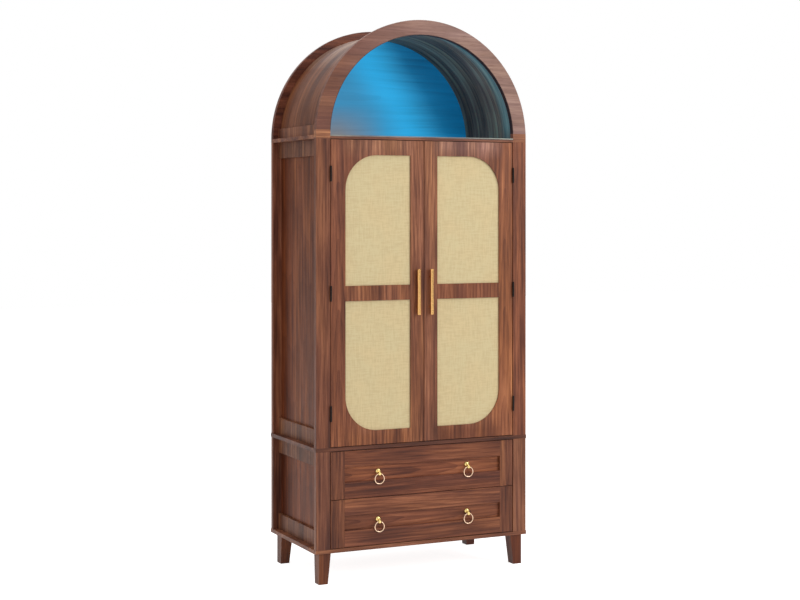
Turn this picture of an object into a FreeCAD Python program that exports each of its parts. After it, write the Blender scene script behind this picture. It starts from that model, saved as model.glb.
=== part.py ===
import FreeCAD, Part
import math
import os

# Arched display cabinet in walnut laminate: two doors with woven panels, two drawers,
# and an open arched niche with a light strip. Sizes are in millimetres.
# X runs across the cabinet, Y from front to back, Z up. The origin is on the floor,
# under the centre of the whole cabinet with its handles.

os.makedirs("parts", exist_ok=True)

# Carcass
width = 750.0             # across the posts
depth = 395.0             # front of the front posts to back of the rear posts
leg_height = 97.0
board_thick = 12.0        # base, middle and top boards
drawer_bay = 306.0        # clear height between the base and middle boards
door_bay = 968.0          # clear height between the middle and top boards
board_overhang = 1.5      # base and middle boards, past the posts at each side
post_width = 48.0
post_thick = 18.0
post_rise = 16.0          # front posts pass the top board by this much
side_thick = 18.0
back_thick = 9.0
rail_height = 52.0        # strips across the side panels
rail_thick = 10.0
arris = 1.0               # eased edge
overrun = 4.0             # how far a cutter passes the face that it cuts

# Arch
ring_lip = 18.0           # inner edge of the rings, inside the shell
shell_thick = 5.0
foot_block_height = 34.0
foot_block_thick = 7.0

# Legs
leg_top = 40.0
leg_foot_width = 30.0
leg_foot_depth = 34.0
leg_side_inset = 13.0
leg_front_inset = 8.0
leg_rear_inset = 22.0     # clear of a skirting board

# Doors
front_gap = 2.0           # gap round the doors and the drawer fronts
front_setback = 1.0       # doors and drawer fronts, behind the front of the posts
door_thick = 18.0
door_outer_stile = 50.0
door_inner_stile = 47.0
door_top_rail = 47.5
door_mid_rail = 48.0
door_bottom_rail = 44.5
lower_light_height = 411.0
light_corner_radius = 110.0
door_face_thick = 4.5     # wood in front of the woven panel
woven_thick = 1.5
rebate_land = 12.0        # overlap of the woven panel behind the frame

# Butt hinges, three on each door
hinge_length = 48.0
hinge_low_inset = 104.0   # bottom of the door to the middle of the lowest hinge
hinge_high_inset = 108.0  # top of the door to the middle of the highest hinge
knuckle_radius = 3.0
knuckle_gap = 0.3
hinge_pin_radius = 1.5
hinge_pin_head_radius = 2.6
hinge_pin_head_height = 1.2
pin_play = 0.05           # running clearance of a hinge pin
leaf_thick = 0.8
leaf_width = 16.0
barrel_clearance = 0.2    # barrel to the front of the post

# Bar handles
bar_radius = 6.0
bar_length = 146.0
bar_standoff = 11.0       # face of the door to the axis of the bar
bar_foot_radius = 4.0
bar_foot_spacing = 96.0
bar_offset = 23.0         # centre line of the cabinet to the axis of the bar
bar_end_ease = 1.2

# Door catch
catch_half_width = 26.0
catch_depth = 14.0
catch_height = 13.0
catch_gap = 0.4
magnet_depth = 6.0
magnet_half_height = 2.0
catch_edge = 4.0          # solid edge of the catch beside its magnets
strike_width = 16.0
strike_height = 15.0
strike_thick = 1.0
strike_inset = 4.0

# Shelves
shelf_thick = 15.0
shelf_side_gap = 1.0
shelf_front_gap = 8.0
shelf_back_gap = 1.0
shelf_pin_radius = 2.5
shelf_pin_length = 16.0
shelf_pin_depth = 8.0     # in the side panel
shelf_pin_inset = 50.0    # from the front and back edges of the shelf
shelf_hole_pitch = 32.0
shelf_hole_play = 0.05
shelf_hole_end = 1.0      # free depth behind a pin

# Drawers
drawer_count = 2
strip_thick = 9.0         # stiles and rails on the drawer front
drawer_panel_thick = 9.0
drawer_stile = 47.0
drawer_rail = 51.0
box_wall = 12.0
box_height = 110.0
box_lift = 15.0           # bottom of the front to bottom of the box
box_back_gap = 33.0
box_bottom_thick = 5.0
box_bottom_rise = 10.0
groove_depth = 6.0
groove_play = 0.2

# Telescopic drawer runners
runner_space = 12.7
runner_height = 40.0
runner_metal = 1.2
runner_gap = 0.4
runner_setback = 1.0      # behind the drawer front
runner_back_gap = 46.0    # end of the runners to the back panel

# Ring pulls
pull_offset = 159.0       # centre line of the cabinet to the pull
pull_drop = 2.5           # middle of the drawer front down to the centre of the eye
rosette_radius = 9.0
rosette_thick = 6.0
rosette_rim = 1.5         # straight edge under the dome
rosette_flat = 2.5        # radius of the flat on the dome
dome_share = 0.33         # how far the dome fills the corner between its rim and its face
rosette_rise = 7.0        # centre of the rosette above the eye
neck_radius = 4.0
head_radius = 6.5
head_reach = 13.0         # drawer panel to the centre of the eye
head_nose = 6.0           # centre of the eye to the flat nose
ring_radius = 16.0
ring_wire_radius = 1.8
ring_play = 0.35

# Light in the niche
strip_width = 10.0
strip_height = 2.5
strip_setback = 4.0       # behind the front ring
tail_width = 6.0
tail_height = 2.0
tail_play = 0.3
tail_entry_inset = 12.0   # ring's inner edge to the hole in the back panel
controller_length = 70.0
controller_height = 24.0
controller_depth = 15.0
inlet_radius = 2.75
inlet_depth = 9.0
inlet_place_share = 0.8   # of the controller's length, from its end at the tail
controller_ease = 1.5

# Levels, from the floor up
base_under = leg_height
base_top = base_under + board_thick
mid_under = base_top + drawer_bay
mid_top = mid_under + board_thick
top_under = mid_top + door_bay
top_top = top_under + board_thick
post_top = top_top + post_rise

# Half widths
post_outer = width / 2
post_inner = post_outer - post_width
side_outer = post_inner + side_thick
rail_outer = side_outer + rail_thick
ring_outer = post_outer
ring_inner = post_inner
shell_inner = ring_inner + ring_lip
shell_outer = shell_inner + shell_thick

# Depths, from the front of the posts
rear_frame = depth - post_thick
back_face = rear_frame - back_thick
door_back = front_setback + door_thick

# The handles stand in front of the posts, and the origin is under the middle of it all
handle_reach = bar_standoff + bar_radius - front_setback
front = (handle_reach - depth) / 2


def vec(x, y, z):
    return FreeCAD.Vector(x, front + y, z)


along_x = FreeCAD.Vector(1, 0, 0)
along_y = FreeCAD.Vector(0, 1, 0)
along_z = FreeCAD.Vector(0, 0, 1)


def box(x0, x1, y0, y1, z0, z1):
    """A box between two corners, with Y counted from the front of the posts."""
    return Part.makeBox(x1 - x0, y1 - y0, z1 - z0, vec(x0, y0, z0))


def cylinder(radius, length, start, direction):
    return Part.makeCylinder(radius, length, start, direction)


def ease_along(shape, direction, radius):
    """Round the straight edges that run along one direction."""
    edges = []
    for edge in shape.Edges:
        if edge.Curve.TypeId != "Part::GeomLine":
            continue
        if edge.Curve.Direction.cross(direction).Length < 1e-6:
            edges.append(edge)
    return shape.makeFillet(radius, edges)


def eased_box(x0, x1, y0, y1, z0, z1, direction):
    return ease_along(box(x0, x1, y0, y1, z0, z1), direction, arris)


def mirror(shape):
    return shape.mirror(FreeCAD.Vector(0, 0, 0), along_x)


def pair(shape):
    """A piece and its mirror image at the other side."""
    return [shape, mirror(shape)]


def write(name, solids):
    if not isinstance(solids, list):
        solids = [solids]
    shape = solids[0] if len(solids) == 1 else Part.makeCompound(solids)
    shape.exportStep("parts/" + name + ".step")
    volume = sum(solid.Volume for solid in solids)
    print(name, len(shape.Solids), "solids", round(volume / 1000.0, 1), "cm3", shape.isValid())


def outline(edges):
    return Part.Face(Part.Wire(Part.__sortEdges__(edges)))


def line(a, b):
    return Part.LineSegment(a, b).toShape()


def arch_point(radius, angle, y):
    """A point of the arch, with the angle counted up from the right-hand foot."""
    return vec(radius * math.cos(angle), y, top_top + radius * math.sin(angle))


def arch_arc(radius, start, end, y):
    middle = (start + end) / 2
    points = [arch_point(radius, angle, y) for angle in (start, middle, end)]
    return Part.Arc(*points).toShape()


def arch_band(outer, inner, rise, y0, y1):
    """Half a ring on the top board, cut level at a height above it."""
    outer_start = math.asin(rise / outer)
    inner_start = math.asin(rise / inner)
    outer_end = math.pi - outer_start
    inner_end = math.pi - inner_start
    edges = [
        arch_arc(outer, outer_start, outer_end, y0),
        line(arch_point(outer, outer_end, y0), arch_point(inner, inner_end, y0)),
        arch_arc(inner, inner_start, inner_end, y0),
        line(arch_point(inner, inner_start, y0), arch_point(outer, outer_start, y0)),
    ]
    return outline(edges).extrude(FreeCAD.Vector(0, y1 - y0, 0))


def boards():
    """Base, middle and top boards. The top board is notched round the front posts."""
    reach = post_outer + board_overhang
    write("base_board", eased_box(-reach, reach, 0, depth, base_under, base_top, along_x))
    write("mid_board", eased_box(-reach, reach, 0, depth, mid_under, mid_top, along_x))
    top = box(-post_outer, post_outer, 0, depth, top_under, top_top)
    for notch in pair(box(post_inner, post_outer + overrun, -overrun, post_thick,
                          top_under - overrun, top_top + overrun)):
        top = top.cut(notch)
    write("top_board", top)


def leg(outer_y, inward):
    """A tapered leg: its two outer faces are upright, its two inner faces lean out."""
    outer_x = post_outer - leg_side_inset
    rings = []
    for wide, deep, z in ((leg_foot_width, leg_foot_depth, 0), (leg_top, leg_top, leg_height)):
        corners = [
            vec(outer_x, outer_y, z),
            vec(outer_x, outer_y + inward * deep, z),
            vec(outer_x - wide, outer_y + inward * deep, z),
            vec(outer_x - wide, outer_y, z),
        ]
        rings.append(Part.makePolygon(corners + corners[:1]))
    return Part.makeLoft(rings, True, True)


def legs():
    front_leg = leg(leg_front_inset, 1)
    rear_leg = leg(depth - leg_rear_inset, -1)
    write("legs", pair(front_leg) + pair(rear_leg))


def upper_front_post():
    """The front posts end in the first part of the arch, where the ring stands on them."""
    outer_end = math.asin(post_rise / ring_outer)
    inner_end = math.asin(post_rise / ring_inner)
    edges = [
        line(vec(post_outer, 0, mid_top), vec(post_outer, 0, top_top)),
        arch_arc(ring_outer, 0, outer_end, 0),
        line(arch_point(ring_outer, outer_end, 0), arch_point(ring_inner, inner_end, 0)),
        arch_arc(ring_inner, 0, inner_end, 0),
        line(vec(post_inner, 0, top_top), vec(post_inner, 0, mid_top)),
        line(vec(post_inner, 0, mid_top), vec(post_outer, 0, mid_top)),
    ]
    return outline(edges).extrude(FreeCAD.Vector(0, post_thick, 0))


def post(y0, z0, z1):
    return eased_box(post_inner, post_outer, y0, y0 + post_thick, z0, z1, along_z)


def posts():
    write("upper_front_posts", pair(upper_front_post()))
    write("upper_rear_posts", pair(post(rear_frame, mid_top, top_under)))
    write("lower_posts", pair(post(0, base_top, mid_under))
          + pair(post(rear_frame, base_top, mid_under)))


def shelf_levels():
    """Undersides of the two shelves, at thirds of the door bay."""
    return [mid_top + door_bay * third / 3 - shelf_thick / 2 for third in (1, 2)]


def shelf_pin_places():
    front_edge = door_back + shelf_front_gap
    back_edge = back_face - shelf_back_gap
    return [front_edge + shelf_pin_inset, back_edge - shelf_pin_inset]


def drilled_side():
    """Upper side panel, with three pin holes at each corner of each shelf."""
    panel = box(post_inner, side_outer, post_thick, rear_frame, mid_top, top_under)
    radius = shelf_pin_radius + shelf_hole_play
    length = shelf_pin_depth + shelf_hole_end + overrun
    for level in shelf_levels():
        for step in (-1, 0, 1):
            z = level - shelf_pin_radius + step * shelf_hole_pitch
            for y in shelf_pin_places():
                panel = panel.cut(cylinder(radius, length, vec(post_inner - overrun, y, z), along_x))
    return panel


def sides():
    for prefix, panel in (
        ("upper", drilled_side()),
        ("lower", box(post_inner, side_outer, post_thick, rear_frame, base_top, mid_under)),
    ):
        write(prefix + "_right_side_panel", panel)
        write(prefix + "_left_side_panel", mirror(panel))
    rails = []
    for z0 in (base_top, mid_under - rail_height, mid_top, top_under - rail_height):
        rails.append(eased_box(side_outer, rail_outer, post_thick, rear_frame,
                               z0, z0 + rail_height, along_y))
    write("right_side_rails", rails)
    write("left_side_rails", [mirror(rail) for rail in rails])


def backs():
    for name, z0, z1 in (("upper_back_panel", mid_top, top_under),
                         ("lower_back_panel", base_top, mid_under)):
        write(name, box(-post_inner, post_inner, back_face, rear_frame, z0, z1))


def arch():
    """Front and rear rings, the thin bent shell between them and its foot blocks."""
    front_ring = arch_band(ring_outer, ring_inner, post_rise, 0, post_thick)
    rear_ring = arch_band(ring_outer, ring_inner, 0, rear_frame, depth)
    shell = arch_band(shell_outer, shell_inner, 0, post_thick, rear_frame)
    write("arch_front_ring", front_ring)
    write("arch_rear_ring", rear_ring)
    write("arch_shell", shell)
    foot = box(shell_outer, shell_outer + foot_block_thick, post_thick, rear_frame,
               top_top, top_top + foot_block_height)
    bent_away = arch_band(shell_outer, shell_inner, 0, post_thick, rear_frame)
    write("arch_foot_blocks", pair(foot.cut(bent_away)))


def tail_hole_x():
    return -(ring_inner - tail_entry_inset)


def niche():
    """Half-round back panel of the niche, with a notch for the tail of the light strip."""
    edges = [
        arch_arc(shell_inner, 0, math.pi, back_face),
        line(vec(-shell_inner, back_face, top_top), vec(shell_inner, back_face, top_top)),
    ]
    panel = outline(edges).extrude(FreeCAD.Vector(0, back_thick, 0))
    half = tail_width / 2 + tail_play
    notch = box(tail_hole_x() - half, tail_hole_x() + half, back_face - overrun,
                rear_frame + overrun, top_top - overrun, top_top + tail_height + tail_play)
    write("niche_back_panel", panel.cut(notch))


def light():
    """Light strip round the inside of the shell, its flat tail, and its controller."""
    y0 = post_thick + strip_setback
    strip = arch_band(shell_inner, shell_inner - strip_height, 0, y0, y0 + strip_width)
    foot = -shell_inner
    tail_top = top_top + tail_height
    along_shell = box(foot, foot + tail_width, y0, back_face, top_top, tail_top)
    along_back = box(foot, tail_hole_x() + tail_width / 2, back_face - tail_width, back_face,
                     top_top, tail_top)
    through = box(tail_hole_x() - tail_width / 2, tail_hole_x() + tail_width / 2,
                  back_face - tail_width, rear_frame, top_top, tail_top)
    inside = arch_band(shell_inner, shell_inner / 2, 0, y0, back_face)
    tail = along_shell.common(inside).fuse(along_back.common(inside)).fuse(through)
    write("led_strip", strip.fuse(tail).removeSplitter())
    x0 = tail_hole_x() - tail_width
    case = box(x0, x0 + controller_length, rear_frame, rear_frame + controller_depth,
               top_top, top_top + controller_height)
    case = ease_along(case, along_y, controller_ease)
    bore = cylinder(inlet_radius, inlet_depth + overrun,
                    vec(x0 + controller_length * inlet_place_share,
                        rear_frame + controller_depth - inlet_depth,
                        top_top + controller_height / 2), along_y)
    write("led_controller", case.cut(bore))


def shelves():
    half = post_inner - shelf_side_gap
    pins = []
    for name, level in zip(("lower_shelf", "upper_shelf"), shelf_levels()):
        shelf = eased_box(-half, half, door_back + shelf_front_gap, back_face - shelf_back_gap,
                          level, level + shelf_thick, along_x)
        write(name, shelf)
        for y in shelf_pin_places():
            start = vec(post_inner + shelf_pin_depth - shelf_pin_length, y, level - shelf_pin_radius)
            pins += pair(cylinder(shelf_pin_radius, shelf_pin_length, start, along_x))
    write("shelf_pins", pins)


def hinge_centres():
    low = mid_top + front_gap + hinge_low_inset
    high = top_under - front_gap - hinge_high_inset
    return [low, (low + high) / 2, high]


hinge_x = post_inner - front_gap / 2
hinge_y = -(knuckle_radius + barrel_clearance)


def knuckle(z0, z1, play):
    ring = cylinder(knuckle_radius, z1 - z0, vec(hinge_x, hinge_y, z0), along_z)
    bore = cylinder(hinge_pin_radius + play, z1 - z0 + 2 * overrun,
                    vec(hinge_x, hinge_y, z0 - overrun), along_z)
    return ring, bore


def hinge_leaf(centre, on_door):
    """One leaf with its knuckles: the post carries the outer two, the door the middle one."""
    low = centre - hinge_length / 2
    high = centre + hinge_length / 2
    third = hinge_length / 3
    half_gap = knuckle_gap / 2
    if on_door:
        spans = [(low + third + half_gap, high - third - half_gap)]
        x0 = post_inner - front_gap
        x1 = x0 + leaf_thick
        play = pin_play
    else:
        spans = [(low, low + third - half_gap), (high - third + half_gap, high)]
        x0 = post_inner - leaf_thick
        x1 = post_inner
        play = 0
    plate_front = hinge_y + knuckle_radius + barrel_clearance + knuckle_gap
    leaf = box(x0, x1, plate_front, plate_front + leaf_width, low, high)
    bores = []
    for z0, z1 in spans:
        ring, bore = knuckle(z0, z1, play)
        leaf = leaf.fuse(ring).fuse(box(x0, x1, hinge_y, plate_front, z0, z1))
        bores.append(bore)
    for bore in bores:
        leaf = leaf.cut(bore)
    return leaf.removeSplitter()


def hinge_pin(centre):
    low = centre - hinge_length / 2
    pin = cylinder(hinge_pin_radius, hinge_length, vec(hinge_x, hinge_y, low), along_z)
    head = cylinder(hinge_pin_head_radius, hinge_pin_head_height,
                    vec(hinge_x, hinge_y, low + hinge_length), along_z)
    return pin.fuse(head).removeSplitter()


def hinges():
    frame_leaves = []
    pins = []
    door_leaves = []
    for centre in hinge_centres():
        frame_leaves += pair(hinge_leaf(centre, False))
        pins += pair(hinge_pin(centre))
        door_leaves.append(hinge_leaf(centre, True))
    write("hinge_frame_leaves", frame_leaves)
    write("hinge_pins", pins)
    write("right_hinge_leaves", door_leaves)
    write("left_hinge_leaves", [mirror(leaf) for leaf in door_leaves])


# Edges of the right-hand door and of its two openings
door_in = front_gap / 2
door_out = post_inner - front_gap
door_low = mid_top + front_gap
door_high = top_under - front_gap
light_in = door_in + door_inner_stile
light_out = door_out - door_outer_stile
lower_light_low = door_low + door_bottom_rail
lower_light_high = lower_light_low + lower_light_height
upper_light_low = lower_light_high + door_mid_rail
upper_light_high = door_high - door_top_rail


def light_opening(z0, z1, round_top, grow, y0, y1):
    """An opening with one rounded corner, at the hinge side of its top or bottom."""
    x0 = light_in - grow
    x1 = light_out + grow
    z0 = z0 - grow
    z1 = z1 + grow
    radius = light_corner_radius + grow
    diagonal = radius * (1 - math.sqrt(0.5))
    flat_z, round_z, inward = (z0, z1, -1) if round_top else (z1, z0, 1)
    edges = [
        line(vec(x0, y0, flat_z), vec(x1, y0, flat_z)),
        line(vec(x1, y0, flat_z), vec(x1, y0, round_z + inward * radius)),
        Part.Arc(vec(x1, y0, round_z + inward * radius),
                 vec(x1 - diagonal, y0, round_z + inward * diagonal),
                 vec(x1 - radius, y0, round_z)).toShape(),
        line(vec(x1 - radius, y0, round_z), vec(x0, y0, round_z)),
        line(vec(x0, y0, round_z), vec(x0, y0, flat_z)),
    ]
    return outline(edges).extrude(FreeCAD.Vector(0, y1 - y0, 0))


def door_panel(y0, y1):
    """A sheet that fills the pocket behind both openings."""
    return box(light_in - rebate_land, light_out + rebate_land, y0, y1,
               lower_light_low - rebate_land, upper_light_high + rebate_land)


def doors():
    face = front_setback
    woven_front = face + door_face_thick
    frame = eased_box(door_in, door_out, face, door_back, door_low, door_high, along_z)
    frame = frame.cut(light_opening(lower_light_low, lower_light_high, False, 0,
                                    face - overrun, door_back + overrun))
    frame = frame.cut(light_opening(upper_light_low, upper_light_high, True, 0,
                                    face - overrun, door_back + overrun))
    frame = frame.cut(door_panel(woven_front, door_back + overrun))
    woven = door_panel(woven_front, woven_front + woven_thick)
    backer = door_panel(woven_front + woven_thick, door_back)
    strike = box(door_in + strike_inset, door_in + strike_inset + strike_width,
                 door_back, door_back + strike_thick,
                 door_high - strike_inset - strike_height, door_high - strike_inset)
    for name, solid in (("door_frame", frame), ("woven_panel", woven),
                        ("door_backer", backer), ("strike_plate", strike),
                        ("handle", bar_handle())):
        write("right_" + name, solid)
        write("left_" + name, mirror(solid))
    body, magnets = catch()
    write("door_catch", body)
    write("catch_magnets", magnets)


def bar_handle():
    """Round bar on two feet, upright at the middle rail of the door."""
    centre = (lower_light_high + upper_light_low) / 2
    axis_y = front_setback - bar_standoff
    bar = cylinder(bar_radius, bar_length, vec(bar_offset, axis_y, centre - bar_length / 2), along_z)
    ends = [edge for edge in bar.Edges if edge.Curve.TypeId == "Part::GeomCircle"]
    bar = bar.makeFillet(bar_end_ease, ends)
    for side in (-1, 1):
        z = centre + side * bar_foot_spacing / 2
        bar = bar.fuse(cylinder(bar_foot_radius, bar_standoff, vec(bar_offset, axis_y, z), along_y))
    return bar.removeSplitter()


def catch():
    """Double magnetic catch under the top board, with a magnet for each door."""
    y0 = door_back + strike_thick + catch_gap
    body = box(-catch_half_width, catch_half_width, y0, y0 + catch_depth,
               top_under - catch_height, top_under)
    z = top_under - catch_height / 2
    magnet = box(catch_edge, catch_half_width - catch_edge, y0, y0 + magnet_depth,
                 z - magnet_half_height, z + magnet_half_height)
    magnets = pair(magnet)
    for cutter in magnets:
        body = body.cut(cutter)
    return body, magnets


# Drawers
drawer_out = post_inner - front_gap
drawer_front_height = (drawer_bay - (drawer_count + 1) * front_gap) / drawer_count
drawer_step = drawer_front_height + front_gap
strip_back = front_setback + strip_thick
drawer_front_back = strip_back + drawer_panel_thick
box_outer = post_inner - runner_space
box_inner = box_outer - box_wall
box_back = back_face - box_back_gap
runner_start = drawer_front_back + runner_setback
runner_length = back_face - runner_back_gap - runner_start


def drawer_front(low):
    """Frame strips on a flat panel: stiles over the full height, rails between them."""
    high = low + drawer_front_height
    inner = drawer_out - drawer_stile
    stile = eased_box(inner, drawer_out, front_setback, strip_back, low, high, along_z)
    strips = pair(stile)
    for z0 in (low, high - drawer_rail):
        strips.append(eased_box(-inner, inner, front_setback, strip_back,
                                z0, z0 + drawer_rail, along_x))
    panel = box(-drawer_out, drawer_out, strip_back, drawer_front_back, low, high)
    return strips, panel


def drawer_box(low):
    """Two sides, a front and a back wall, grooved for the bottom."""
    z0 = low + box_lift
    z1 = z0 + box_height
    groove_low = z0 + box_bottom_rise
    groove_high = groove_low + box_bottom_thick + 2 * groove_play
    groove = box(-(box_inner + groove_depth), box_inner + groove_depth,
                 drawer_front_back + box_wall - groove_depth, box_back - box_wall + groove_depth,
                 groove_low, groove_high)
    side = box(box_inner, box_outer, drawer_front_back, box_back, z0, z1)
    walls = pair(side)
    for y0 in (drawer_front_back, box_back - box_wall):
        walls.append(box(-box_inner, box_inner, y0, y0 + box_wall, z0, z1))
    walls = [wall.cut(groove) for wall in walls]
    reach = groove_depth - groove_play
    bottom = box(-(box_inner + reach), box_inner + reach,
                 drawer_front_back + box_wall - reach, box_back - box_wall + reach,
                 groove_low + groove_play, groove_high - groove_play)
    return walls, bottom


def channel(near, far, half_height, plate_near, z):
    """Channel section: a plate at one side and two flanges that reach the other."""
    y0 = runner_start
    y1 = runner_start + runner_length
    outer = box(near, far, y0, y1, z - half_height, z + half_height)
    inner_half = half_height - runner_metal
    if plate_near:
        hollow = box(near + runner_metal, far + overrun, y0 - overrun, y1 + overrun,
                     z - inner_half, z + inner_half)
    else:
        hollow = box(near - overrun, far - runner_metal, y0 - overrun, y1 + overrun,
                     z - inner_half, z + inner_half)
    return outer.cut(hollow)


def runner(low):
    """Cabinet, middle and drawer members, nested with a small gap all round."""
    z = low + box_lift + box_height / 2
    near = box_outer
    far = post_inner
    step = runner_metal + runner_gap
    half = runner_height / 2
    cabinet = channel(near + step, far, half, False, z)
    middle = channel(near + step, far - step, half - step, False, z)
    drawer = channel(near, far - 2 * step, half - 2 * step, True, z)
    return cabinet, middle, drawer


def turned(corners, arc_middle, axis):
    """A solid of revolution: straight edges between the corners, closed by an arc."""
    edges = [line(start, end) for start, end in zip(corners, corners[1:])]
    edges.append(Part.Arc(corners[-1], arc_middle, corners[0]).toShape())
    return outline(edges).revolve(axis, along_y, 360)


def rosette(x, z):
    """Round plate with a domed face."""
    seat = strip_back
    rim_y = seat - rosette_rim
    face_y = seat - rosette_thick
    middle_y = (rim_y + face_y) / 2
    middle_r = (rosette_radius + rosette_flat) / 2
    middle_y += dome_share * (face_y - middle_y)
    middle_r += dome_share * (rosette_radius - middle_r)
    corners = [
        vec(x, face_y, z + rosette_flat),
        vec(x, face_y, z),
        vec(x, seat, z),
        vec(x, seat, z + rosette_radius),
        vec(x, rim_y, z + rosette_radius),
    ]
    return turned(corners, vec(x, middle_y, z + middle_r), vec(x, seat, z))


def pull_post(x, z):
    """Ball on a short neck under a domed rosette. The ring hangs in the eye of the ball."""
    seat = strip_back
    eye_y = seat - head_reach
    neck_y = eye_y + math.sqrt(head_radius ** 2 - neck_radius ** 2)
    nose_y = eye_y - head_nose
    nose_radius = math.sqrt(head_radius ** 2 - head_nose ** 2)
    corners = [
        vec(x, nose_y, z + nose_radius),
        vec(x, nose_y, z),
        vec(x, seat, z),
        vec(x, seat, z + neck_radius),
        vec(x, neck_y, z + neck_radius),
    ]
    ball = turned(corners, vec(x, eye_y, z + head_radius), vec(x, seat, z))
    post = ball.fuse(rosette(x, z + rosette_rise)).removeSplitter()
    return post.cut(eye(x, eye_y, z))


def eye(x, y, z):
    """Waisted hole along X, wide enough for the curve of the ring at any swing."""
    inner = ring_radius - ring_wire_radius
    waist = ring_wire_radius + ring_play
    half = head_radius + ring_play
    mouth = waist + inner - math.sqrt(inner ** 2 - half ** 2)
    edges = [
        line(vec(x - half, y, z), vec(x + half, y, z)),
        line(vec(x + half, y, z), vec(x + half, y, z + mouth)),
        Part.Arc(vec(x + half, y, z + mouth), vec(x, y, z + waist),
                 vec(x - half, y, z + mouth)).toShape(),
        line(vec(x - half, y, z + mouth), vec(x - half, y, z)),
    ]
    return outline(edges).revolve(vec(x, y, z), along_x, 360)


def pull_ring(x, z):
    centre = vec(x, strip_back - head_reach, z - ring_radius)
    return Part.makeTorus(ring_radius, ring_wire_radius, centre, along_y)


def drawers():
    cabinet_members = []
    for index, name in enumerate(("lower", "upper")):
        low = base_top + front_gap + index * drawer_step
        strips, panel = drawer_front(low)
        walls, bottom = drawer_box(low)
        cabinet, middle, member = runner(low)
        cabinet_members += pair(cabinet)
        centre = low + drawer_front_height / 2 - pull_drop
        write(name + "_drawer_front_strips", strips)
        write(name + "_drawer_front_panel", panel)
        write(name + "_drawer_box", walls)
        write(name + "_drawer_bottom", bottom)
        write(name + "_runner_middle_members", pair(middle))
        write(name + "_runner_drawer_members", pair(member))
        write(name + "_pull_posts", [pull_post(side * pull_offset, centre) for side in (-1, 1)])
        write(name + "_left_pull_ring", pull_ring(-pull_offset, centre))
        write(name + "_right_pull_ring", pull_ring(pull_offset, centre))
    write("runner_cabinet_members", cabinet_members)


boards()
legs()
posts()
sides()
backs()
arch()
niche()
light()
shelves()
hinges()
doors()
drawers()
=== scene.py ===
import math

import bmesh
import bpy
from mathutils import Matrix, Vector, noise as noiseField


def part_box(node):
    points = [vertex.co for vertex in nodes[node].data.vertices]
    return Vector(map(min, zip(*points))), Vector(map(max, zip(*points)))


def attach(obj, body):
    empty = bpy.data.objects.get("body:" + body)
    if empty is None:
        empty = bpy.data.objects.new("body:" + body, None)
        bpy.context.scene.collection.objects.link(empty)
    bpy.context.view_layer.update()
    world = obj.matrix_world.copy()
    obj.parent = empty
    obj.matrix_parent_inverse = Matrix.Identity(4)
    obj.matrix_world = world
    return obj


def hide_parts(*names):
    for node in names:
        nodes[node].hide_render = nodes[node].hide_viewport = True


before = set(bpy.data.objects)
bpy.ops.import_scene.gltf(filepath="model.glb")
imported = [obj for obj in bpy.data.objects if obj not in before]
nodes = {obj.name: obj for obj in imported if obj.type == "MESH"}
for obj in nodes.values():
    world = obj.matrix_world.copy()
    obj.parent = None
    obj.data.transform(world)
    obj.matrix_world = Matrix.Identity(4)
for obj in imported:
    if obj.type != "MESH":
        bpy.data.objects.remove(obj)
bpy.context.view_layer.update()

# An arched walnut cabinet with woven door panels, drawers with ring pulls and a lit niche.
# Lengths are metres in the cabinet's own frame: X to the right, Y to the back, Z up.


# Small helpers for node trees

def plug(tree, socket, value):
    if isinstance(value, bpy.types.NodeSocket):
        tree.links.new(value, socket)
    else:
        socket.default_value = value


def feed(tree, node, **inputs):
    for key, value in inputs.items():
        plug(tree, node.inputs[key.replace("_", " ")], value)
    return node


def addNode(tree, kind, settings=None, **inputs):
    node = tree.nodes.new(kind)
    for key, value in (settings or {}).items():
        setattr(node, key, value)
    return feed(tree, node, **inputs)


# Feeds the sockets in their order
def feedInOrder(tree, node, *values):
    for socket, value in zip(node.inputs, values):
        plug(tree, socket, value)
    return node


def calc(tree, operation, *values, clamp=False):
    node = addNode(tree, "ShaderNodeMath", {"operation": operation, "use_clamp": clamp})
    return feedInOrder(tree, node, *values).outputs[0]


def calcVector(tree, operation, *values):
    node = addNode(tree, "ShaderNodeVectorMath", {"operation": operation})
    return feedInOrder(tree, node, *values).outputs[0]


def remap(tree, value, low, high, newLow=0.0, newHigh=1.0):
    node = addNode(tree, "ShaderNodeMapRange")
    return feedInOrder(tree, node, value, low, high, newLow, newHigh).outputs[0]


# A mix node's sockets for each kind of data: the first value, with the second next to it, and
# the result
mixSockets = {"FLOAT": (2, 0), "VECTOR": (4, 1), "RGBA": (6, 2)}


def blend(tree, data, factor, first, second, kind="MIX"):
    node = addNode(tree, "ShaderNodeMix", {"data_type": data, "blend_type": kind})
    start, result = mixSockets[data]
    for socket, value in zip((0, start, start + 1), (factor, first, second)):
        plug(tree, node.inputs[socket], value)
    return node.outputs[result]


def blendColor(tree, *values):
    return blend(tree, "RGBA", *values)


def noise(tree, vector, scale=1.0, detail=2.0, roughness=0.5):
    return addNode(tree, "ShaderNodeTexNoise", Vector=vector, Scale=scale, Detail=detail,
                   Roughness=roughness).outputs["Fac"]


def stretchedNoise(tree, vector, stretch, detail=2.0, roughness=0.5):
    return noise(tree, calcVector(tree, "MULTIPLY", vector, stretch), 1.0, detail, roughness)


# Turns a noise of 0 to 1 into a reach with its middle at zero
def centred(tree, value, reach):
    return calc(tree, "MULTIPLY_ADD", value, reach, -reach / 2)


def split(tree, vector):
    return addNode(tree, "ShaderNodeSeparateXYZ", Vector=vector).outputs


def joined(tree, x, y, z):
    return addNode(tree, "ShaderNodeCombineXYZ", X=x, Y=y, Z=z).outputs[0]


def addObject(name, data):
    item = bpy.data.objects.new(name, data)
    bpy.context.scene.collection.objects.link(item)
    return item


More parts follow.
